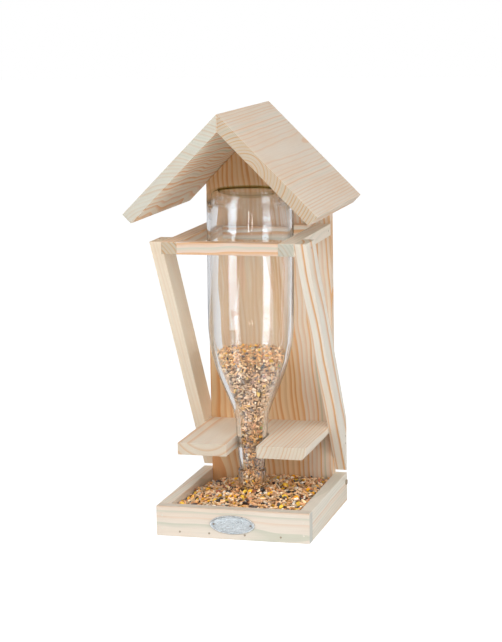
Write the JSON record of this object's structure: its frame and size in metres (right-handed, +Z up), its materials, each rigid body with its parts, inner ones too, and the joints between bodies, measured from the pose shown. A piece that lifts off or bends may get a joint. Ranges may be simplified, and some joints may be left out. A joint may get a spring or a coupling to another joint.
{
  "type": "wine bottle bird feeder",
  "caption": "Free-standing softwood bird feeder: a gabled back board with a collar and a slotted shelf holds an upturned glass bottle of seed over a shallow tray.",
  "frame": {"origin": "on the ground, in the middle of the space the feeder takes up, so the roof reaches as far forward of it as the back board stands behind it", "axes": "+X to the right seen from the front, +Y from the front to the back board, +Z up"},
  "size_m": [0.1838, 0.184, 0.4019],
  "materials": {
    "pine": "planed softwood, untreated and matt",
    "zinc_sheet": "dull galvanised sheet",
    "brad_steel": "plain wire, slightly dulled",
    "screw_steel": "plated, slightly dulled",
    "clear_glass": "clear and glossy, with a slight green-grey edge",
    "seed": "loose mixed grain, matt"
  },
  "bodies": {
    "stand": {"tray_front_rail": "pine", "tray_left_rail": "pine", "tray_right_rail": "pine", "tray_floor": "pine", "back_board": "pine", "roof_left": "pine", "roof_right": "pine", "collar_front_bar": "pine", "collar_left_bar": "pine", "collar_right_bar": "pine", "collar_back_bar": "pine", "strut_left": "pine", "strut_right": "pine", "neck_shelf": "pine", "plaque": "zinc_sheet", "plaque_nails": "zinc_sheet", "tray_corner_brads": "brad_steel", "tray_floor_brads": "brad_steel", "strut_top_brads": "brad_steel", "strut_foot_brads": "brad_steel", "collar_brads": "brad_steel", "roof_brads": "brad_steel", "tray_back_screws": "screw_steel", "collar_screws": "screw_steel", "shelf_screws": "screw_steel", "tray_seed": "seed"},
    "bottle_and_seed": {"bottle": "clear_glass", "bottle_seed": "seed"}
  },
  "joints": [
    {"name": "bottle_swing", "type": "hinge", "parent": "stand", "child": "bottle_and_seed", "pos_m": [0, 0.007, 0.2765], "axis": [-1, 0, 0], "range_deg": [0, 17]}
  ]
}
